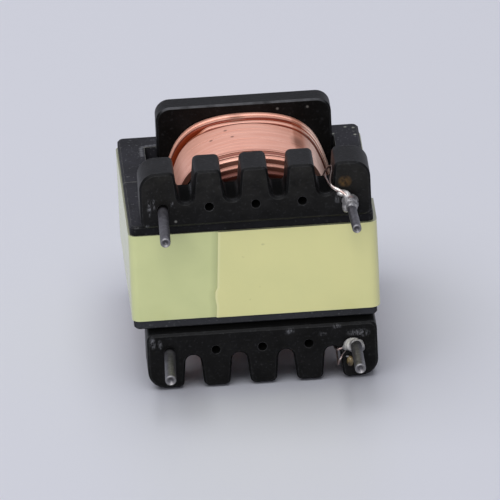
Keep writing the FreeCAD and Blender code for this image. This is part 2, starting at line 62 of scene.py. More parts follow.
def toLinear(hexColour):
    channels = [int(hexColour[i:i + 2], 16) / 255 for i in (1, 3, 5)]
    return [c / 12.92 if c <= 0.04045 else ((c + 0.055) / 1.055) ** 2.4 for c in channels] + [1.0]


def addNode(tree, kind, inputs=None, stops=(), **settings):
    # inputs holds for each socket, by name or by number, a value, a node for its first output, or one of its
    # outputs, and stops holds a colour ramp's positions, each with a hex colour or a grey level
    node = tree.nodes.new(kind)
    for name, setting in settings.items():
        setattr(node, name, setting)
    for key, given in (inputs or {}).items():
        socket = node.inputs[key]
        given = given.outputs[0] if isinstance(given, bpy.types.Node) else given
        if isinstance(given, bpy.types.NodeSocket):
            tree.links.new(given, socket)
        elif isinstance(given, str) and given.startswith("#"):
            socket.default_value = toLinear(given)
        else:
            socket.default_value = given
    elements = node.color_ramp.elements if stops else ()
    while len(elements) < len(stops):
        elements.new(1.0)
    for element, (position, colour) in zip(elements, stops):
        element.position = position
        element.color = toLinear(colour) if isinstance(colour, str) else (colour, colour, colour, 1)
    return node


def newMaterial(name):
    material = bpy.data.materials.new(name)
    material.use_nodes = True
    material.node_tree.nodes.clear()
    return material, material.node_tree


def finishMaterial(material, looks):
    tree = material.node_tree
    surface = addNode(tree, "ShaderNodeBsdfPrincipled", looks)
    addNode(tree, "ShaderNodeOutputMaterial", {"Surface": surface})
    return material


print("helpers ready")


# ---- patterns: masks are one where they let a colour through, and every place and size is in millimetres

def inMillimetres(tree):
    place = addNode(tree, "ShaderNodeTexCoord").outputs["Object"]
    return addNode(tree, "ShaderNodeVectorMath", {0: place, 3: 1000.0}, operation="SCALE")


def patches(tree, place, perMm, detail, *stops, roughness=0.55):
    # cloudy patches, of which about perMm lie side by side in a millimetre
    cloud = addNode(tree, "ShaderNodeTexNoise", {"Vector": place, "Scale": perMm, "Detail": detail,
                                                 "Roughness": roughness})
    return addNode(tree, "ShaderNodeValToRGB", {"Fac": cloud}, stops)


def fade(tree, vector, axis, low, high, first=0.0, last=1.0):
    # from first to last between two places along one axis
    along = addNode(tree, "ShaderNodeSeparateXYZ", {0: vector}).outputs[axis]
    return addNode(tree, "ShaderNodeMapRange", {0: along, 1: low, 2: high, 3: first, 4: last})


def stripes(tree, place, low, high, *stops):
    # level stripes, whose stops are shares of the way from one height to another
    return addNode(tree, "ShaderNodeValToRGB", {"Fac": fade(tree, place, "Z", low, high)}, stops)


def overlap(tree, *masks):
    # only as much as all the masks let through
    share = masks[0]
    for mask in masks[1:]:
        share = addNode(tree, "ShaderNodeMath", {0: share, 1: mask}, operation="MULTIPLY",
                        use_clamp=True)
    return share


def paint(tree, base, colour, *masks):
    # the colour over the base, as far as all the masks and shares let it through
    return addNode(tree, "ShaderNodeMix", {0: overlap(tree, *masks), 6: base, 7: colour},
                   data_type="RGBA").outputs[2]


def edges(tree, radius, low, high):
    # outer edges, where the rounded normal leaves the face's own
    rounded = addNode(tree, "ShaderNodeBevel", {"Radius": radius}, samples=6)
    true = addNode(tree, "ShaderNodeNewGeometry").outputs["True Normal"]
    turn = addNode(tree, "ShaderNodeVectorMath", {0: rounded, 1: true}, operation="DOT_PRODUCT")
    return addNode(tree, "ShaderNodeValToRGB", {"Fac": turn.outputs["Value"]}, ((low, 1.0), (high, 0.0)))


def spots(tree, place, marked):
    # spots that fade out to their edge, each a centre, half sizes and the share of them that is plain
    total = 0.0
    for centre, halfSizes, plain in marked:
        away = addNode(tree, "ShaderNodeVectorMath", {0: place, 1: centre}, operation="SUBTRACT")
        away = addNode(tree, "ShaderNodeVectorMath", {0: away, 1: halfSizes}, operation="DIVIDE")
        share = addNode(tree, "ShaderNodeVectorMath", {0: away}, operation="LENGTH").outputs["Value"]
        spot = addNode(tree, "ShaderNodeValToRGB", {"Fac": share}, ((plain, 1.0), (1.0, 0.0)))
        total = addNode(tree, "ShaderNodeMath", {0: spot, 1: total}, operation="ADD", use_clamp=True)
    return total


def scuffs(tree, place, radius, *centres):
    # round spots, all of one radius
    return spots(tree, place, [(centre, (radius, radius, radius), 0.3) for centre in centres])


def smears(tree, place, *marked):
    # flat patches on the pin side, each the middle's x and y and the half sizes along them
    return spots(tree, place, [((x, y, 0), (halfX, halfY, 0.4), 0.35) for x, y, halfX, halfY in marked])


def grain(tree, place, perMm, detail, strength, depth, rounding=0.0):
    # fine relief, over edges that look rounded
    relief = addNode(tree, "ShaderNodeTexNoise", {"Vector": place, "Scale": perMm, "Detail": detail,
                                                  "Roughness": 0.55})
    inputs = {"Height": relief, "Strength": strength, "Distance": depth * mm}
    if rounding:
        inputs["Normal"] = addNode(tree, "ShaderNodeBevel", {"Radius": rounding * mm}, samples=6)
    return addNode(tree, "ShaderNodeBump", inputs)


# ---- materials

def makePhenolic():
    # moulded phenolic: matt black with fine pale filler specks, greyer on its edges from rubbing and from a
    # painted edge highlight
    material, tree = newMaterial("mouldedPhenolic")
    place = inMillimetres(tree)
    facing = addNode(tree, "ShaderNodeNewGeometry").outputs["True Normal"]
    base = patches(tree, place, 0.9, 4.0, (0.35, "#080808"), (0.7, "#121213"))
    base = paint(tree, base, "#3C3D40", patches(tree, place, 6.0, 2.0, (0.58, 0.0), (0.74, 1.0)), 0.3)
    rubbed = smears(tree, place, (-5.72, -4.35, 0.14, 0.60), (-5.45, -4.55, 0.10, 0.45),
                    (-4.49, -4.50, 0.10, 0.20), (-5.84, -3.2, 0.16, 0.22), (-5.90, 3.6, 0.20, 0.45),
                    (-5.50, 3.72, 0.14, 0.35), (4.05, 3.3, 0.28, 0.16), (5.2, 3.75, 0.70, 0.30),
                    (1.5, 3.4, 0.30, 0.22), (3.3, 3.7, 0.25, 0.14), (4.4, -4.2, 0.22, 0.30))
    lengthwise = addNode(tree, "ShaderNodeVectorMath", {0: place, 1: (2.2, 0.8, 1.0)}, operation="MULTIPLY")
    flecks = patches(tree, lengthwise, 4.5, 6.0, (0.47, 0.0), (0.62, 1.0), roughness=0.8)
    base = paint(tree, base, "#707176", rubbed, flecks)
    scratched = scuffs(tree, place, 0.10, (1.85, -5.41, 9.75), (3.48, -5.41, 9.75), (-4.33, -3.46, 0.0))
    base = paint(tree, base, "#777774", scratched, 0.8)
    stained = smears(tree, place, (4.82, -5.18, 0.40, 0.38))
    base = paint(tree, base, "#6A4F2A", stained, patches(tree, place, 2.4, 3.0, (0.35, 0.1), (0.6, 0.9)))
    sooty = smears(tree, place, (-4.99, -4.3, 0.50, 0.50), (-4.99, 4.1, 0.52, 0.42))
    base = paint(tree, base, "#020202", sooty, 0.8)
    # the edges, lightened partly by rubbing and partly as a painted edge highlight
    edgeWearAndHighlight = edges(tree, 0.06 * mm, 0.76, 0.985)
    base = paint(tree, base, "#6A6B6E", edgeWearAndHighlight, patches(tree, place, 1.6, 3.0, (0.35, 0.05), (0.65, 0.7)))
    # dust on the pin side, more of it towards the tips of the front teeth
    dusted = overlap(tree, fade(tree, place, "Y", -3.4, -6.0, 0.01, 0.09),
                     fade(tree, facing, "Z", -0.7, -0.9), fade(tree, place, "Z", 1.0, 0.5))
    base = paint(tree, base, "#6A6864", dusted, patches(tree, place, 1.4, 5.0, (0.35, 0.4), (0.6, 1.0)))
    # the floors of the front notches and the plate behind them: painted near-black shade, and rough so that
    # they reflect little
    notchShade = overlap(tree, fade(tree, facing, "Y", -0.6, -0.85), fade(tree, place, "Z", 0.12, 0.45),
                     fade(tree, place, "Z", 3.2, 2.9), fade(tree, place, "Y", -5.35, -5.25))
    base = paint(tree, base, "#010101", notchShade, 0.95)
    # the flange, darker, but for a painted highlight along its lower front edge, where light from above
    # catches the chamfer
    onFlange = fade(tree, place, "Z", 9.0, 9.4, 0.05)
    base = paint(tree, base, "#020202", onFlange, 0.35)
    slant = addNode(tree, "ShaderNodeVectorMath", {0: facing, 1: (0, -0.707, -0.707)},
                    operation="DOT_PRODUCT")
    flangeEdgeHighlight = addNode(tree, "ShaderNodeValToRGB", {"Fac": slant.outputs["Value"]},
                       ((0.80, 0.0), (0.93, 1.0)))
    base = paint(tree, base, "#4A4B4E", flangeEdgeHighlight, onFlange,
                 patches(tree, place, 1.2, 4.0, (0.35, 0.3), (0.6, 1.0)))
    roughness = addNode(tree, "ShaderNodeMapRange", {0: notchShade, 3: 0.42, 4: 1.0})
    return finishMaterial(material, {"Base Color": base, "Roughness": roughness, "IOR": 1.5,
                                     "Specular IOR Level": 0.08,
                                     "Normal": grain(tree, place, 7.0, 5.0, 0.4, 0.03, 0.05)})


def makeFerrite():
    # sintered manganese-zinc ferrite: dull bluish grey, fine grain, pale chips along its edges
    material, tree = newMaterial("sinteredFerrite")
    place = inMillimetres(tree)
    base = patches(tree, place, 1.1, 5.0, (0.3, "#161619"), (0.7, "#232328"))
    base = paint(tree, base, "#66676A", patches(tree, place, 7.0, 3.0, (0.62, 0.0), (0.72, 1.0)), 0.7)
    # pale edges from chips and rubbing, lightened further as a painted edge highlight
    edgeWearAndHighlight = edges(tree, 0.09 * mm, 0.74, 0.98)
    base = paint(tree, base, "#8C8D88", edgeWearAndHighlight, patches(tree, place, 2.6, 4.0, (0.34, 0.12), (0.58, 0.9)))
    face = -3.02    # the front of the core
    chips = scuffs(tree, place, 0.12, (4.90, face, 11.34), (6.02, face, 11.99), (6.06, face, 11.04),
                   (6.04, face, 11.50), (5.60, face, 12.15))
    base = paint(tree, base, "#A4A69A", chips, patches(tree, place, 5.0, 3.0, (0.40, 0.0), (0.60, 0.7)))
    # the window's upper left rim, rubbed, and lightened further as a painted edge highlight
    rim = scuffs(tree, place, 0.15, (-5.49, face, 11.20), (-5.27, face, 11.30), (-5.05, face, 11.33),
                 (-4.83, face, 11.36), *[(-5.59, face, 10.02 + 0.24 * step) for step in range(5)])
    base = paint(tree, base, "#85868A", rim, 0.35)
    # on the pin side beside the tape: a painted shadow of the front rail on the strip at its side, and
    # painted light on the strip at the back rail's side
    below = fade(tree, place, "Z", 0.8, 0.65)
    base = paint(tree, base, "#020202", below, fade(tree, place, "Y", -2.3, -2.5, 0.0, 0.5))
    base = paint(tree, base, "#505258", below, fade(tree, place, "Y", 2.3, 2.5, 0.0, 0.25))
    return finishMaterial(material, {"Base Color": base, "Roughness": 0.6, "IOR": 1.6,
                                     "Specular IOR Level": 0.08,
                                     "Normal": grain(tree, place, 12.0, 6.0, 0.5, 0.02, 0.05)})


def makeTapeFilm(name, first, second):
    # polyester film tape: pale, satin, with a clear sheen at grazing angles
    material, tree = newMaterial(name)
    place = inMillimetres(tree)
    base = patches(tree, place, 0.35, 3.0, (0.35, first), (0.65, second))
    base = paint(tree, base, "#8F9268", patches(tree, place, 1.7, 1.0, (0.76, 0.0), (0.79, 1.0)), 0.35)
    base = paint(tree, base, "#E0E2C0", edges(tree, 0.05 * mm, 0.74, 0.98), 0.4)
    # along the cut end of the last turn lie a shade and a lit edge
    fromSeam = addNode(tree, "ShaderNodeAttribute", attribute_name="fromSeam").outputs["Fac"]
    share = addNode(tree, "ShaderNodeMapRange", {0: fromSeam, 1: -0.6, 2: 0.2})
    for colour, stops in (("#7C8458", ((0.25, 0.0), (0.72, 1.0), (0.76, 0.0))),
                          ("#E4E3B8", ((0.75, 0.0), (0.79, 1.0), (0.97, 0.0)))):
        line = addNode(tree, "ShaderNodeValToRGB", {"Fac": share}, stops)
        base = paint(tree, base, colour, line, 0.35)
    return finishMaterial(material, {"Base Color": base, "Roughness": 0.45, "IOR": 1.5, "Coat Weight": 0.8,
                                     "Coat Roughness": 0.16, "Coat IOR": 1.6})


def makeCopper(name, shadeShare, coat, metal, shine):
    # copper wire under clear polyurethane enamel: salmon, softly shining, browner in its scorched spots
    material, tree = newMaterial(name)
    place = inMillimetres(tree)
    facing = addNode(tree, "ShaderNodeNewGeometry").outputs["True Normal"]
    streaky = addNode(tree, "ShaderNodeVectorMath", {0: place, 1: (0.35, 0.35, 3.0)}, operation="MULTIPLY")
    base = patches(tree, streaky, 1.3, 4.0, (0.3, "#DB9C87"), (0.7, "#E6B09C"))
    # painted shade in the gaps between the turns against the flange, and at the left a painted orange-brown
    # shade and copper bounce light on the turn that shows between them
    grooveShade = stripes(tree, place, 8.2, 9.2, (0.16, 0.0), (0.22, 1.0), (0.32, 1.0), (0.38, 0.0), (0.64, 0.0),
                      (0.70, 1.0), (0.80, 1.0), (0.86, 0.0))
    base = paint(tree, base, "#5A1E0E", grooveShade)
    base = paint(tree, base, "#B8602C", fade(tree, place, "X", -2.1, -2.5),
                 stripes(tree, place, 8.2, 9.2, (0.26, 0.0), (0.31, 1.0), (0.70, 1.0), (0.75, 0.0)), 0.75)
    # painted shade between the lower turns, and deeper painted shade on the lowest
    lowGapShade = stripes(tree, place, 5.2, 4.2, (0.18, 0.0), (0.24, 0.4), (0.33, 0.4), (0.38, 0.0), (0.44, 0.15),
                    (0.54, 0.85), (0.74, 0.85), (0.80, 0.0))
    base = paint(tree, base, "#7A2E16", lowGapShade)
    lowTurnShade = stripes(tree, place, 5.0, 3.0, (0.52, 0.0), (0.54, 0.40), (0.73, 0.45), (0.74, 0.90),
                     (0.95, 0.93))
    base = paint(tree, base, "#4A1A10", lowTurnShade)
    # darker and browner beside the front right corner, painted light round the right end, and painted shade
    # between the turns there
    base = paint(tree, base, "#98553C", fade(tree, place, "X", 2.5, 2.62, 0.0, 0.5))
    base = paint(tree, base, "#FFDCCB", fade(tree, place, "X", 3.0, 3.6, 0.0, 0.85))
    base = paint(tree, base, "#1C0502", fade(tree, place, "X", 2.6, 3.4),
                 stripes(tree, place, 8.2, 9.2, (0.10, 0.0), (0.18, 1.0), (0.36, 1.0), (0.42, 0.0)), 0.9)
    # painted shade on the downward faces of the turns, redder near the top
    under = paint(tree, "#3A130A", "#7A2E16", fade(tree, place, "Z", 5.3, 5.4))
    base = paint(tree, base, under, fade(tree, facing, "Z", -0.75, -0.95), 0.85)
    scorched = scuffs(tree, place, 0.6, (2.85, -4.75, 7.1), (2.85, -4.80, 6.5), (-0.45, -5.44, 9.1))
    base = paint(tree, base, "#6E4A3C", scorched, 0.65)
    pits = scuffs(tree, place, 0.13, (-1.11, -5.14, 7.84), (-0.79, -5.19, 6.87), (-1.94, -4.95, 7.07))
    base = paint(tree, base, "#5A3226", pits, 0.8)
    # near black as painted shade, as far as the given share
    base = paint(tree, base, "#0E0403", shadeShare)
    return finishMaterial(material, {"Base Color": base, "Metallic": metal, "Roughness": 0.45,
                                     "Specular IOR Level": shine, "Coat Weight": coat, "Coat Roughness": 0.2})


def makeTin():
    # dull tin plate on the pins, with the bare bright metal of the cut at their ends
    material, tree = newMaterial("dullTin")
    place = inMillimetres(tree)
    base = patches(tree, place, 4.0, 5.0, (0.3, "#474649"), (0.7, "#69686D"))
    base = paint(tree, base, "#7A797B", fade(tree, place, "Z", -3.86, -3.78, 1.0, 0.0))
    base = paint(tree, base, "#0B0A0A", fade(tree, place, "Z", -0.40, -0.22))
    # the right pins carry painted shade below their solder caps
    shadeBelowSolder = fade(tree, place, "Z", -1.5, -0.9, 0.0, 0.5)
    base = paint(tree, base, "#1A1A1B", shadeBelowSolder, fade(tree, place, "X", 0.0, 1.0))
    return finishMaterial(material, {"Base Color": base, "Metallic": 0.8, "Roughness": 0.45,
                                     "Normal": grain(tree, place, 9.0, 4.0, 0.5, 0.03)})


def makeSolder():
    # solder that cooled rough: pale grey, frosty, with small bright and dark places
    material, tree = newMaterial("frostySolder")
    place = inMillimetres(tree)
    base = patches(tree, place, 3.5, 5.0, (0.36, "#5E5D60"), (0.5, "#7E7D7F"), (0.66, "#A3A1A0"),
                   roughness=0.65)
    frosted = [(centre, (0.36, 0.36, 0.36), 0.3) for centre in (
        (4.55, 4.25, -0.4), (4.80, 4.02, -0.3), (5.05, 3.95, -0.4), (5.25, 4.15, -0.4))]
    beads = [(centre, (0.24, 0.24, 0.24), 0.3) for centre in ((4.58, -4.78, -0.40), (4.92, -4.66, -0.45))]
    base = paint(tree, base, "#D2D0CC", spots(tree, place, frosted + beads))
    base = paint(tree, base, "#B08A86", scuffs(tree, place, 0.2, (5.05, -4.45, -0.6)), 0.6)
    return finishMaterial(material, {"Base Color": base, "Metallic": 0.35, "Roughness": 0.34,
                                     "Normal": grain(tree, place, 5.0, 4.0, 0.5, 0.03)})


def makeWetStrand():
    # copper strand that the solder has half covered: pinkish silver, duller above the joint and at the back
    material, tree = newMaterial("solderedStrand")
    place = inMillimetres(tree)
    base = patches(tree, place, 2.5, 3.0, (0.4, "#A78F88"), (0.6, "#DCD6D2"))
    dull = fade(tree, place, "Z", -0.12, 0.04, 0.0, 0.85)
    base = paint(tree, base, "#6E5A56", dull)
    base = paint(tree, base, "#2E2420", dull, fade(tree, place, "Y", -4.95, -5.10, 0.0, 0.75))
    base = paint(tree, base, "#454145", fade(tree, place, "Y", 0.0, 1.0, 0.0, 0.55))
    return finishMaterial(material, {"Base Color": base, "Metallic": 0.6, "Roughness": 0.35})


def makeFlux():
    # set rosin flux: amber, glassy, darker where it lies thick
    material, tree = newMaterial("rosinFlux")
    base = patches(tree, inMillimetres(tree), 3.0, 2.0, (0.4, "#2E2416"), (0.6, "#6E5F3E"))
    return finishMaterial(material, {"Base Color": base, "Roughness": 0.15, "IOR": 1.52})


phenolic = makePhenolic()
ferrite = makeFerrite()
greenTape = makeTapeFilm("greenishTape", "#BCC38A", "#C3C98F")    # fewer turns over the dark core
yellowTape = makeTapeFilm("yellowishTape", "#CDCC8E", "#D1CF90")
shadedTapeEdge = makeTapeFilm("shadedTapeEdge", "#7C7E62", "#888A6B")    # the cut edges, painted darker as shade
copper = makeCopper("enamelledCopper", shadeShare=0.0, coat=0.15, metal=0.42, shine=0.1)
copperInShade = makeCopper("copperPaintedShade", shadeShare=0.96, coat=0.0, metal=0.0, shine=0.05)    # the lowest turn, in a copy painted near black as shade
tin = makeTin()
solder = makeSolder()
wetStrand = makeWetStrand()
flux = makeFlux()
print("materials ready")


# ---- outer winding: turns of enamelled wire round an oval of eight arcs

winding = {
    "halfWidth": 4.5 * mm, "halfDepth": 5.24 * mm, "plateTop": 2.7 * mm, "flangeThickness": 1.3 * mm,
    "endRadius": 6.4 * mm, "sideRadius": 8.5 * mm, "cornerRadius": 2.5 * mm, "pointsPerTurn": 300,
    "slack": 0.010 * mm, "slackWaves": 3,
    "slippedTurn": 2, "slip": 0.20 * mm, "flattened": 0.10 * mm,    # of the turns against the flange
    "firstSunkTurn": 11, "sunkInset": 0.8 * mm,    # the lower turns fall back to this at both sides
}

# from the flange down: how far each turn lies inside the even band, in millimetres, and its wire, whose width
# is a share of the space for a turn
turnGroups = {
    "proudTurns": {"insets": (-0.20, -0.18, -0.10), "width": 0.96, "depth": 0.40 * mm, "corner": 0.12 * mm,
                   "wander": 0.05 * mm, "seed": 8.0},
    "evenTurns": {"insets": (0.0, 0.004, 0.0, 0.006, 0.002, 0.007, 0.0, 0.004, 0.02, 0.06), "width": 1.01,
                  "depth": 0.30 * mm, "corner": 0.015 * mm, "wander": 0.008 * mm, "seed": 3.0},
    "lowTurns": {"insets": (0.07, 0.34, 0.58), "width": 0.95, "depth": 0.85 * mm, "corner": 0.12 * mm,
                 "wander": 0.03 * mm, "seed": 5.0},
    "darkTurns": {"insets": (0.8,), "width": 1.25, "depth": 0.85 * mm, "corner": 0.12 * mm,
                  "wander": 0.03 * mm, "seed": 6.0},
}


def ovalPath():
    # places along the even band's plan and the outward direction at each, from the middle of the right side
    endCentre = Vector((0, winding["halfDepth"] - winding["endRadius"]))
    sideCentre = Vector((winding["halfWidth"] - winding["sideRadius"], 0))
    toEnd = winding["endRadius"] - winding["cornerRadius"]
    toSide = winding["sideRadius"] - winding["cornerRadius"]
    between = sideCentre - endCentre
    along = (between.length_squared + toEnd ** 2 - toSide ** 2) / (2 * between.length)
    across = math.sqrt(toEnd ** 2 - along ** 2)
    direction = between.normalized()
    corner = endCentre + direction * along + Vector((direction.y, -direction.x)) * across
    sideHalf = math.atan2(corner.y - sideCentre.y, corner.x - sideCentre.x)
    cornerEnd = math.atan2(corner.y - endCentre.y, corner.x - endCentre.x)
    quarter = [(sideCentre, winding["sideRadius"], 0, sideHalf),
               (corner, winding["cornerRadius"], sideHalf, cornerEnd),
               (endCentre, winding["endRadius"], cornerEnd, math.pi / 2)]
    arcs = quarter + [(Vector((-centre.x, centre.y)), radius, math.pi - last, math.pi - first)
                      for centre, radius, first, last in reversed(quarter)]
    arcs += [(-centre, radius, math.pi + first, math.pi + last) for centre, radius, first, last in arcs]
    total = sum(radius * (last - first) for centre, radius, first, last in arcs)
    step = total / winding["pointsPerTurn"]
    places = []
    walked = 0.0
    for centre, radius, first, last in arcs:
        length = radius * (last - first)
        while len(places) * step < walked + length - 1e-9 and len(places) < winding["pointsPerTurn"]:
            angle = first + (len(places) * step - walked) / radius
            outward = Vector((math.cos(angle), math.sin(angle)))
            places.append((centre + outward * radius, outward))
        walked += length
    return places


def addTurns(name, turns, wire, pitch, material):
    # turns is a list of functions that give the inset and the height at a fraction of the way round
    places = ovalPath()
    curve = bpy.data.curves.new(name, "CURVE")
    curve.dimensions = "3D"
    for turn in turns:
        spline = curve.splines.new("POLY")
        spline.points.add(len(places) - 1)
        spline.use_cyclic_u = True
        for i, (place, outward) in enumerate(places):
            inset, height = turn(i / len(places))
            spot = place - outward * (inset + wire["depth"] / 2)
            spline.points[i].co = (spot.x, spot.y, height, 1)
    path = bpy.data.objects.new(name + "Path", curve)
    bpy.context.scene.collection.objects.link(path)
    modifier = path.modifiers.new("turns", "NODES")
    modifier.node_group = turnTree
    given = {"Wire Width": pitch * wire["width"], "Wire Depth": wire["depth"],
             "Corner Radius": wire["corner"], "Wander": wire["wander"], "Seed": wire["seed"],
             "Finish": material}
    for label, value in given.items():
        modifier[socketNames[label]] = value
    return meshFrom(path, name)


def meshFrom(source, name):
    # the evaluated result as a plain mesh object, with the source and its modifier gone
    bpy.context.view_layer.update()
    evaluated = source.evaluated_get(bpy.context.evaluated_depsgraph_get())
    mesh = bpy.data.meshes.new_from_object(evaluated)
    mesh.name = name
    piece = bpy.data.objects.new(name, mesh)
    bpy.context.scene.collection.objects.link(piece)
    bpy.data.objects.remove(source)
    return piece


def makeTurnTree():
    # a rounded flat wire laid along each curve, with a slight wander
    tree = bpy.data.node_groups.new("windTurns", "GeometryNodeTree")
    face = tree.interface
    face.new_socket("Geometry", in_out="INPUT", socket_type="NodeSocketGeometry")
    names = {}
    for label in ("Wire Width", "Wire Depth", "Corner Radius", "Wander", "Seed"):
        names[label] = face.new_socket(label, in_out="INPUT", socket_type="NodeSocketFloat").identifier
    names["Finish"] = face.new_socket("Finish", in_out="INPUT", socket_type="NodeSocketMaterial").identifier
    face.new_socket("Geometry", in_out="OUTPUT", socket_type="NodeSocketGeometry")
    given = addNode(tree, "NodeGroupInput").outputs
    place = addNode(tree, "GeometryNodeInputPosition")
    drift = addNode(tree, "ShaderNodeTexNoise",
                    {"Vector": place, "Scale": 260.0, "Detail": 1.0, "W": given["Seed"]},
                    noise_dimensions="4D").outputs["Color"]
    centred = addNode(tree, "ShaderNodeVectorMath", {0: drift, 1: (0.5, 0.5, 0.5)}, operation="SUBTRACT")
    offset = addNode(tree, "ShaderNodeVectorMath", {0: centred, 3: given["Wander"]}, operation="SCALE")
    moved = addNode(tree, "GeometryNodeSetPosition", {"Geometry": given["Geometry"], "Offset": offset})
    upright = addNode(tree, "GeometryNodeSetCurveNormal", {"Curve": moved}, mode="Z_UP")
    section = addNode(tree, "GeometryNodeCurvePrimitiveQuadrilateral",
                      {"Width": given["Wire Depth"], "Height": given["Wire Width"]})
    section = addNode(tree, "GeometryNodeFilletCurve",
                      {"Curve": section, "Radius": given["Corner Radius"], "Count": 3, "Limit Radius": True},
                      mode="POLY")
    wire = addNode(tree, "GeometryNodeCurveToMesh", {"Curve": upright, "Profile Curve": section})
    smooth = addNode(tree, "GeometryNodeSetShadeSmooth", {"Geometry": wire})
    single = addNode(tree, "GeometryNodeRealizeInstances", {"Geometry": smooth})
    coated = addNode(tree, "GeometryNodeSetMaterial", {"Geometry": single, "Material": given["Finish"]})
    addNode(tree, "NodeGroupOutput", {0: coated})
    return tree, names


def ease(x, start, end):
    x = min(max((x - start) / (end - start), 0), 1)
    return x * x * (3 - 2 * x)


turnTree, socketNames = makeTurnTree()


def levelTurn(inset, height, number):
    # level but for a slight slack, with the even band's turns standing apart only round the right side
    againstFlange = number <= winding["slippedTurn"]
    sunkFrom = winding["firstSunkTurn"]

    def turn(fraction):
        around = 2 * math.pi * fraction
        side = math.cos(around)    # 1 in the middle of the right side and -1 in that of the left
        slack = winding["slack"] * math.sin(around * winding["slackWaves"] + number * 1.7)
        depth = inset
        if abs(inset) <= 0.02 * mm:
            depth *= 0.5 + 0.5 * math.cos(around - 2 * math.pi * 0.95)
        if againstFlange:
            depth += winding["flattened"] * (1 - ease(abs(side), 0.0, 0.5))
        if number == winding["slippedTurn"]:
            depth += winding["slip"] * ease(-fraction, -0.69, -0.66) * ease(fraction, 0.42, 0.48)
        if number > sunkFrom or number == sunkFrom and side > 0:
            depth += (winding["sunkInset"] - inset) * ease(abs(side), 0.45, 0.70)
        return depth, height + slack
    return turn


def makeWinding():
    top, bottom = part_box("bobbin")[1].z - winding["flangeThickness"], winding["plateTop"]
    pitch = (top - bottom) / sum(len(wire["insets"]) for wire in turnGroups.values())
    number = 0
    for name, wire in turnGroups.items():
        turns = []
        for inset in wire["insets"]:
            turns.append(levelTurn(inset * mm, top - pitch * (number + 0.5), number))
            number += 1
        piece = addTurns(name, turns, wire, pitch, copperInShade if name == "darkTurns" else copper)
        if name == "evenTurns":
            piece.data.set_sharp_from_angle(angle=math.radians(12))    # its flat faces stay flat
        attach(piece, "root")
        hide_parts("secondary_winding")


makeWinding()
print("winding ready")


# ---- pins, solder and leads

pinWork = {
    "sides": 28, "tip": -3.9 * mm, "top": 1.8 * mm, "rings": 30, "ringStep": 0.13 * mm,
    # how far each pin's end stands off its root, in x and y, and the pin's radius, in millimetres
    "lean": {"pin_front_left": (-0.09, 0.24, 0.28), "pin_back_left": (-0.17, -0.11, 0.30),
             "pin_front_right": (0.15, 0.14, 0.25), "pin_back_right": (0.01, -0.08, 0.30)},
    # the cropped end, round its burr and into its dish: millimetres over the tip, and share of the radius
    "crop": ((0.07, 0.98), (0.02, 0.9), (0.0, 0.80), (0.02, 0.66), (0.11, 0.40), (0.14, 0.12)),
}


def sweep(name, stations, sides, level=False):
    # a closed round bar through stations, each a centre and a radius. Level rings suit a bar that turns back
    # into its own end
    centres = [centre for centre, radius in stations]
    ahead = Vector((0, 0, 1))
    across = Vector((1, 0, 0)) if level else None
    points, faces = [], []
    for i, (centre, radius) in enumerate(stations):
        if not level:
            ahead = centres[min(i + 1, len(centres) - 1)] - centres[max(i - 1, 0)]
            ahead = ahead.normalized() if ahead.length > 1e-9 else Vector((0, 0, 1))
            across = across or ahead.orthogonal().normalized()
            across = (across - ahead * across.dot(ahead)).normalized()
        beside = ahead.cross(across)
        for k in range(sides):
            angle = 2 * math.pi * k / sides
            points.append(centre + (across * math.cos(angle) + beside * math.sin(angle)) * radius)
    for i in range(len(stations) - 1):
        for k in range(sides):
            after = (k + 1) % sides
            faces.append((i * sides + k, i * sides + after, (i + 1) * sides + after, (i + 1) * sides + k))
    last = (len(stations) - 1) * sides
    faces.append(tuple(reversed(range(sides))))
    faces.append(tuple(range(last, last + sides)))
    return finishMesh(name, points, faces)


def finishMesh(name, points, faces, angle=50):
    mesh = bpy.data.meshes.new(name)
    mesh.from_pydata(points, [], faces)
    work = bmesh.new()
    work.from_mesh(mesh)
    bmesh.ops.recalc_face_normals(work, faces=work.faces)
    work.to_mesh(mesh)
    work.free()
    mesh.shade_smooth()
    mesh.set_sharp_from_angle(angle=math.radians(angle))
    piece = bpy.data.objects.new(name, mesh)
    bpy.context.scene.collection.objects.link(piece)
    return piece


def dress(piece, material, node):
    piece.data.materials.clear()
    piece.data.materials.append(material)
    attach(piece, "root")
    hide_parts(node)


def throughPoints(route, steps):
    # a smooth line through the route's points, given in millimetres with a radius each
    spots = [Vector(point[:3]) * mm for point in route]
    radii = [point[3] * mm for point in route]
    spots = [spots[0] * 2 - spots[1]] + spots + [spots[-1] * 2 - spots[-2]]
    stations = []
    for i in range(1, len(spots) - 2):
        before, start, end, after = spots[i - 1:i + 3]
        for k in range(steps):
            t = k / steps
            spot = (start * 2 + (end - before) * t + (before * 2 - start * 5 + end * 4 - after) * t ** 2
                    + (start * 3 - before - end * 3 + after) * t ** 3) / 2
            stations.append((spot, radii[i - 1] * (1 - t) + radii[i] * t))
    stations.append((spots[-2], radii[-1]))
    return stations


def makePins():
    tip = pinWork["tip"]
    for node, (leanX, leanY, radius) in pinWork["lean"].items():
        low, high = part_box(node)
        root = (low + high) / 2
        profile = [(pinWork["top"], 0.98)]
        profile += [(-pinWork["ringStep"] * k, 1.0) for k in range(pinWork["rings"])]
        profile += [(tip + rise * mm, share) for rise, share in pinWork["crop"]]
        stations = []
        for z, share in profile:
            leaning = max(z / tip, 0) * mm
            centre = Vector((root.x + leanX * leaning, root.y + leanY * leaning, z))
            stations.append((centre, radius * share * mm))
        piece = sweep(f"{node}_wire", stations, pinWork["sides"], level=True)
        dress(piece, tin, node)


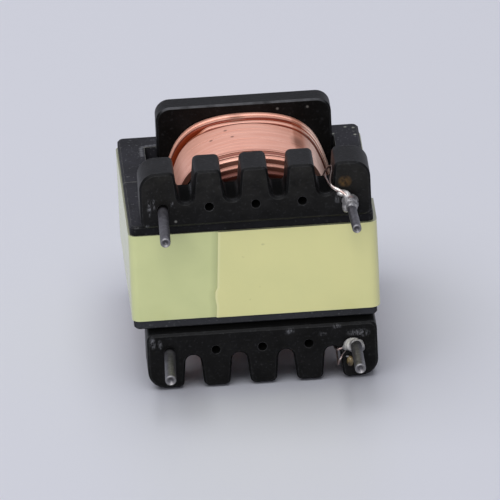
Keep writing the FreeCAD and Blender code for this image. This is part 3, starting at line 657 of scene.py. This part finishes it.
# routes in millimetres, each point with the strand's radius
strandRoutes = {
    "front_lead_strand_1": (
        (3.55, -3.35, 3.30, 0.06), (3.86, -4.25, 2.98, 0.06), (3.91, -4.60, 1.90, 0.05),
        (3.97, -4.73, 1.10, 0.055), (4.03, -4.84, 0.45, 0.06), (4.18, -4.88, -0.06, 0.09),
        (4.50, -4.68, -0.16, 0.10), (4.78, -4.50, -0.30, 0.11), (4.95, -4.35, -0.40, 0.10)),
    "front_lead_strand_2": (
        (3.50, -3.30, 3.45, 0.05), (3.95, -4.60, 2.90, 0.05), (4.20, -5.30, 1.90, 0.05),
        (4.22, -5.42, 1.20, 0.05), (4.06, -5.15, 0.45, 0.05), (4.10, -5.00, -0.08, 0.06),
        (4.42, -4.84, -0.26, 0.08), (4.74, -4.64, -0.40, 0.09), (4.92, -4.42, -0.50, 0.09)),
    "back_lead_strand_1": (
        (3.55, 3.35, 3.30, 0.06), (3.90, 4.00, 2.75, 0.06), (4.02, 4.75, 1.60, 0.06),
        (4.03, 5.45, 0.60, 0.05), (4.03, 5.55, 0.05, 0.05), (4.06, 5.38, -0.07, 0.06),
        (4.12, 5.22, -0.12, 0.06), (4.22, 5.08, -0.08, 0.05), (4.30, 4.94, -0.03, 0.025),
        (4.62, 4.50, -0.10, 0.015)),
    "back_lead_strand_2": (
        (3.50, 3.30, 3.45, 0.06), (3.84, 4.20, 2.90, 0.06), (3.86, 4.80, 1.70, 0.06),
        (3.95, 4.86, 0.60, 0.06), (4.02, 4.66, -0.02, 0.06), (4.10, 4.60, -0.10, 0.07),
        (4.32, 4.52, -0.12, 0.045), (4.62, 4.40, -0.24, 0.04)),
}


def makeStrands():
    for node, route in strandRoutes.items():
        piece = sweep(f"{node}_wire", throughPoints(route, 8), 14)
        dress(piece, wetStrand, node)


# lumps of each joint in millimetres: centre, then half sizes
solderLumps = {
    "pin_front_right": ((5.04, -4.08, -0.10, 0.46, 0.38, 0.28), (5.05, -4.18, -0.60, 0.41, 0.38, 0.55),
                        (5.07, -4.18, -1.20, 0.31, 0.31, 0.40), (4.66, -4.62, -0.26, 0.34, 0.18, 0.20),
                        (4.90, -4.47, -0.36, 0.22, 0.20, 0.24), (4.78, -3.99, -0.72, 0.21, 0.28, 0.42),
                        (5.30, -4.08, -0.50, 0.18, 0.26, 0.36)),
    "pin_back_right": ((4.90, 4.36, -0.14, 0.58, 0.40, 0.30), (4.94, 4.28, -0.40, 0.46, 0.39, 0.34),
                       (4.99, 4.20, -0.60, 0.36, 0.36, 0.28), (5.26, 4.42, -0.34, 0.24, 0.28, 0.34),
                       (4.48, 4.50, -0.14, 0.24, 0.18, 0.13), (4.54, 5.05, -0.10, 0.11, 0.06, 0.07)),
}


# the lumps are melted together at a hundred times their size
melting = {"enlarged": 100.0, "grid": 0.035 * mm, "smoothing": 0.6, "passes": 5, "roughness": 0.035 * mm}


def lumpiness(spot):
    return fractalNoise.noise(spot) + 0.5 * fractalNoise.noise(spot * 2.3)


def makeSolderJoints():
    enlarged = melting["enlarged"]
    for node, lumps in solderLumps.items():
        build = bmesh.new()
        for x, y, z, a, b, c in lumps:
            place = Matrix.Translation(Vector((x, y, z)) * mm * enlarged) @ Matrix.Diagonal((a, b, c, 1))
            bmesh.ops.create_icosphere(build, subdivisions=3, radius=mm * enlarged, matrix=place)
        mesh = bpy.data.meshes.new("lumps")
        build.to_mesh(mesh)
        build.free()
        source = bpy.data.objects.new("lumps", mesh)
        bpy.context.scene.collection.objects.link(source)
        merge = source.modifiers.new("merge", "REMESH")
        merge.mode = "VOXEL"
        merge.voxel_size = melting["grid"] * enlarged
        merge.use_smooth_shade = True
        soften = source.modifiers.new("soften", "SMOOTH")
        soften.factor = melting["smoothing"]
        soften.iterations = melting["passes"]
        piece = meshFrom(source, f"{node}_joint")
        piece.data.transform(Matrix.Scale(1 / enlarged, 4))
        for vertex in piece.data.vertices:
            vertex.co += vertex.normal * lumpiness(vertex.co / mm * 3.0) * melting["roughness"]
        dress(piece, solder, node)


# the set drop of flux
fluxDrop = {"centre": (4.68, 5.32, -0.15), "halfSizes": (0.19, 0.30, 0.19), "uneven": 0.18}


def makeFluxDrop():
    centre = Vector(fluxDrop["centre"]) * mm
    build = bmesh.new()
    place = Matrix.Translation(centre) @ Matrix.Diagonal((*fluxDrop["halfSizes"], 1))
    bmesh.ops.create_icosphere(build, subdivisions=3, radius=mm, matrix=place)
    mesh = bpy.data.meshes.new("amberBead")
    build.to_mesh(mesh)
    build.free()
    for vertex in mesh.vertices:
        vertex.co += (vertex.co - centre) * fluxDrop["uneven"] * fractalNoise.noise(vertex.co / mm * 4)
    mesh.shade_smooth()
    mesh.materials.append(flux)
    piece = bpy.data.objects.new("amberBead", mesh)
    bpy.context.scene.collection.objects.link(piece)
    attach(piece, "root")


makePins()
makeStrands()
makeSolderJoints()
makeFluxDrop()
print("pins and leads ready")


# ---- tape: its last turn ends in a kinked edge under the pin side

tapeWork = {"thin": 0.10 * mm, "thick": 0.19 * mm, "halfWidth": 2.5 * mm, "corner": 0.35 * mm,
            "climb": 3.0 * mm, "strips": 40}


def tapeEnd(y):
    # where the cut end runs, in millimetres: a little aslant, with a small step near the back edge
    y /= mm
    return (-2.08 - 0.055 * (y + 2.5) - 0.10 * ease(y, 0.75, 1.0) + 0.09 * ease(y, 1.3, 1.9)) * mm


def makeTape():
    low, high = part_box("core_lower")[0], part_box("core_upper")[1]
    strips = tapeWork["strips"]
    rows = [tapeLoop(low, high, tapeWork["halfWidth"] * (2 * j / strips - 1)) for j in range(strips + 1)]
    count = len(rows[0])
    points, faces = [], []
    for row in rows:
        for inner, outer in row:
            points += [inner, outer]

    def at(j, i, side):
        return (j * count + i % count) * 2 + side

    for j in range(strips):
        for i in range(count):
            faces.append((at(j, i, 1), at(j, i + 1, 1), at(j + 1, i + 1, 1), at(j + 1, i, 1)))
            faces.append((at(j, i, 0), at(j + 1, i, 0), at(j + 1, i + 1, 0), at(j, i + 1, 0)))
    for i in range(count):
        faces.append((at(0, i, 0), at(0, i + 1, 0), at(0, i + 1, 1), at(0, i, 1)))
        faces.append((at(strips, i, 0), at(strips, i, 1), at(strips, i + 1, 1), at(strips, i + 1, 0)))
    piece = finishMesh("tapeWrap", points, faces, 40)
    front = low.z + 0.02 * mm
    away = [(spot.x - tapeEnd(spot.y)) / mm if spot.z < front else 9.0 for spot in points]
    piece.data.attributes.new("fromSeam", "FLOAT", "POINT").data.foreach_set("value", away)
    dress(piece, greenTape, "core_tape")
    piece.data.materials.append(yellowTape)
    piece.data.materials.append(shadedTapeEdge)
    for face in piece.data.polygons:
        spot = face.center
        if abs(face.normal.y) > 0.9:
            face.material_index = 2
        elif spot.x > tapeEnd(spot.y) and spot.z < low.z + tapeWork["climb"]:
            face.material_index = 1


def tapeLoop(low, high, y):
    # pairs of an inner and an outer point round the core, from the cut end to the right and up
    thin, thick = tapeWork["thin"], tapeWork["thick"]
    radius, climb = tapeWork["corner"], tapeWork["climb"]
    end = tapeEnd(y)
    pairs = []

    def add(x, z, outX, outZ, wall):
        swell = wall * (1 + 0.06 * fractalNoise.noise(Vector((x, y, z)) / mm * 0.5))
        pairs.append((Vector((x, y, z)), Vector((x + outX * swell, y, z + outZ * swell))))

    def straight(start, stop, steps, outX, outZ, wall):
        for k in range(steps + 1):
            spot = start.lerp(stop, k / steps)
            add(spot.x, spot.y, outX, outZ, wall)

    def bend(centreX, centreZ, first, wall):
        for k in range(1, 8):
            angle = math.radians(first + 90 * k / 8)
            add(centreX + radius * math.cos(angle), centreZ + radius * math.sin(angle),
                math.cos(angle), math.sin(angle), wall)

    left, right, floor, roof = low.x, high.x, low.z, high.z
    step = 0.012 * mm    # the short slope where one thickness meets the other
    straight(Vector((end, floor)), Vector((right - radius, floor)), 30, 0, -1, thick)
    bend(right - radius, floor + radius, -90, thick)
    straight(Vector((right, floor + radius)), Vector((right, floor + climb)), 10, 1, 0, thick)
    straight(Vector((right, floor + climb + step)), Vector((right, roof - radius)), 20, 1, 0, thin)
    bend(right - radius, roof - radius, 0, thin)
    straight(Vector((right - radius, roof)), Vector((left + radius, roof)), 40, 0, 1, thin)
    bend(left + radius, roof - radius, 90, thin)
    straight(Vector((left, roof - radius)), Vector((left, floor + radius)), 30, -1, 0, thin)
    bend(left + radius, floor + radius, 180, thin)
    straight(Vector((left + radius, floor)), Vector((end - step, floor)), 16, 0, -1, thin)
    return pairs


makeTape()
print("tape ready")


# ---- finishes of the solids, also of those that the pieces above stand in for

cadFinish = {
    "bobbin": phenolic, "core_lower": ferrite, "core_upper": ferrite, "core_tape": greenTape,
    "primary_winding": copper, "winding_wrap": yellowTape, "secondary_winding": copper,
    "pin_front_left": tin, "pin_back_left": tin, "pin_front_right": tin, "pin_back_right": tin,
    "front_lead_strand_1": tin, "front_lead_strand_2": tin,
    "back_lead_strand_1": copper, "back_lead_strand_2": copper,
}
for name, material in cadFinish.items():
    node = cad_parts[name]
    node.data.materials.clear()
    node.data.materials.append(material)
print("solids finished")


# ---- stage: a pale bench on the side that the part lies on, and a floor under its pins for other views

stage = {
    "benchColour": "#DFE0E5", "benchWidth": 0.30, "benchLength": 0.60,
    "railTop": 2.2 * mm, "flangeReach": 5.85 * mm,    # the part lies on its back rail and its flange
    "floorColour": "#DFE0E5", "floorSize": 0.60,
}


def makeOneSided(name, colour):
    # satin white laminate, seen from its front only
    material, tree = newMaterial(name)
    front = addNode(tree, "ShaderNodeBsdfPrincipled", {"Base Color": colour, "Roughness": 0.4})
    clear = addNode(tree, "ShaderNodeBsdfTransparent")
    behind = addNode(tree, "ShaderNodeNewGeometry").outputs["Backfacing"]
    surface = addNode(tree, "ShaderNodeMixShader", {0: behind, 1: front, 2: clear})
    addNode(tree, "ShaderNodeOutputMaterial", {"Surface": surface})
    return material


def makeBoard(name, corners, colour):
    mesh = bpy.data.meshes.new(name)
    mesh.from_pydata(corners, [], [(0, 1, 2, 3)])
    mesh.materials.append(makeOneSided(f"{name}Laminate", colour))
    board = bpy.data.objects.new(name, mesh)
    bpy.context.scene.collection.objects.link(board)
    return board


def makeStage():
    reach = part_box("bobbin")[1]
    toothEdge = Vector((0, reach.y, stage["railTop"]))
    flangeEdge = Vector((0, stage["flangeReach"], reach.z))
    along = (flangeEdge - toothEdge).normalized() * stage["benchLength"] / 2
    across = Vector((stage["benchWidth"] / 2, 0, 0))
    middle = (toothEdge + flangeEdge) / 2
    around = ((-1, -1), (1, -1), (1, 1), (-1, 1))
    bench = makeBoard("bench", [middle + across * x + along * y for x, y in around], stage["benchColour"])
    half = stage["floorSize"] / 2
    floor = makeBoard("floor", [(x * half, y * half, cadBox[0].z) for x, y in around], stage["floorColour"])
    floor.visible_shadow = False    # the front lamp stands below it
    floor.visible_diffuse = False
    floor.visible_glossy = False
    return bench, floor


# lamps by their places off the part's middle, in metres and watts
light = {
    "overhead": {"place": (-0.05, -0.25, 0.0), "size": 0.32, "watts": 0.575, "colour": "#F9FAFF"},
    "frontFill": {"place": (-0.05, -0.15, -0.24), "size": 0.13, "watts": 0.47, "colour": "#FFFDF8"},
    "worldColour": "#D2D3DE", "worldGlow": 0.43,
}


def makeLamp(name):
    settings = light[name]
    lamp = bpy.data.lights.new(name, "AREA")
    lamp.shape = "SQUARE"
    lamp.size = settings["size"]
    lamp.energy = settings["watts"]
    lamp.color = toLinear(settings["colour"])[:3]
    holder = bpy.data.objects.new(name, lamp)
    holder.location = (cadBox[0] + cadBox[1]) / 2 + Vector(settings["place"])
    holder.rotation_mode = "QUATERNION"
    holder.rotation_quaternion = (-Vector(settings["place"])).to_track_quat("-Z", "Y")
    bpy.context.scene.collection.objects.link(holder)
    return holder


def makeWorld():
    # a dim glow for the part, and plain pale where the camera or a reflection looks into it
    world = bpy.data.worlds.new("studio")
    bpy.context.scene.world = world
    world.use_nodes = True
    tree = world.node_tree
    tree.nodes.clear()
    colour = light["worldColour"]
    glow = addNode(tree, "ShaderNodeBackground", {"Color": colour, "Strength": light["worldGlow"]})
    seen = addNode(tree, "ShaderNodeBackground", {"Color": colour, "Strength": 1.0})
    rays = addNode(tree, "ShaderNodeLightPath").outputs
    bright = rays["Is Camera Ray"]
    for kind in ("Is Glossy Ray", "Is Transmission Ray"):
        bright = addNode(tree, "ShaderNodeMath", {0: bright, 1: rays[kind]}, operation="ADD", use_clamp=True)
    mixed = addNode(tree, "ShaderNodeMixShader", {0: bright, 1: glow, 2: seen})
    addNode(tree, "ShaderNodeOutputWorld", {"Surface": mixed})


def makeLight(boards):
    makeWorld()
    makeLamp("overhead")
    fill = makeLamp("frontFill")
    unlit = bpy.data.collections.new("boards")    # the front lamp leaves the boards to the one above
    for board in boards:
        unlit.objects.link(board)
    fill.light_linking.receiver_collection = unlit
    for board in unlit.collection_objects:
        board.light_linking.link_state = "EXCLUDE"


# seen from the pin side, a quarter turned up, with the part lying on its back rail
view = {
    "towards": (0.0415, 0.4082, 0.9120), "right": (0.9970, 0.0427, -0.0645),
    "lookAt": (-0.43 * mm, -1.52 * mm, 0.0), "distance": 0.8158, "lens": 1096.3, "sensor": 36.0,
}


def makeCamera():
    towards = Vector(view["towards"]).normalized()
    right = Vector(view["right"])
    right = (right - towards * right.dot(towards)).normalized()
    up = right.cross(towards)
    data = bpy.data.cameras.new("camera")
    data.lens = view["lens"]
    data.sensor_width = view["sensor"]
    data.clip_start = 0.01
    data.clip_end = 10
    camera = bpy.data.objects.new("camera", data)
    turn = Matrix((right, up, -towards)).transposed().to_4x4()
    camera.matrix_world = Matrix.Translation(Vector(view["lookAt"]) - towards * view["distance"]) @ turn
    bpy.context.scene.collection.objects.link(camera)
    bpy.context.scene.camera = camera


makeLight(makeStage())
makeCamera()
bpy.context.scene.view_settings.view_transform = "Standard"
print("stage, light and camera ready")
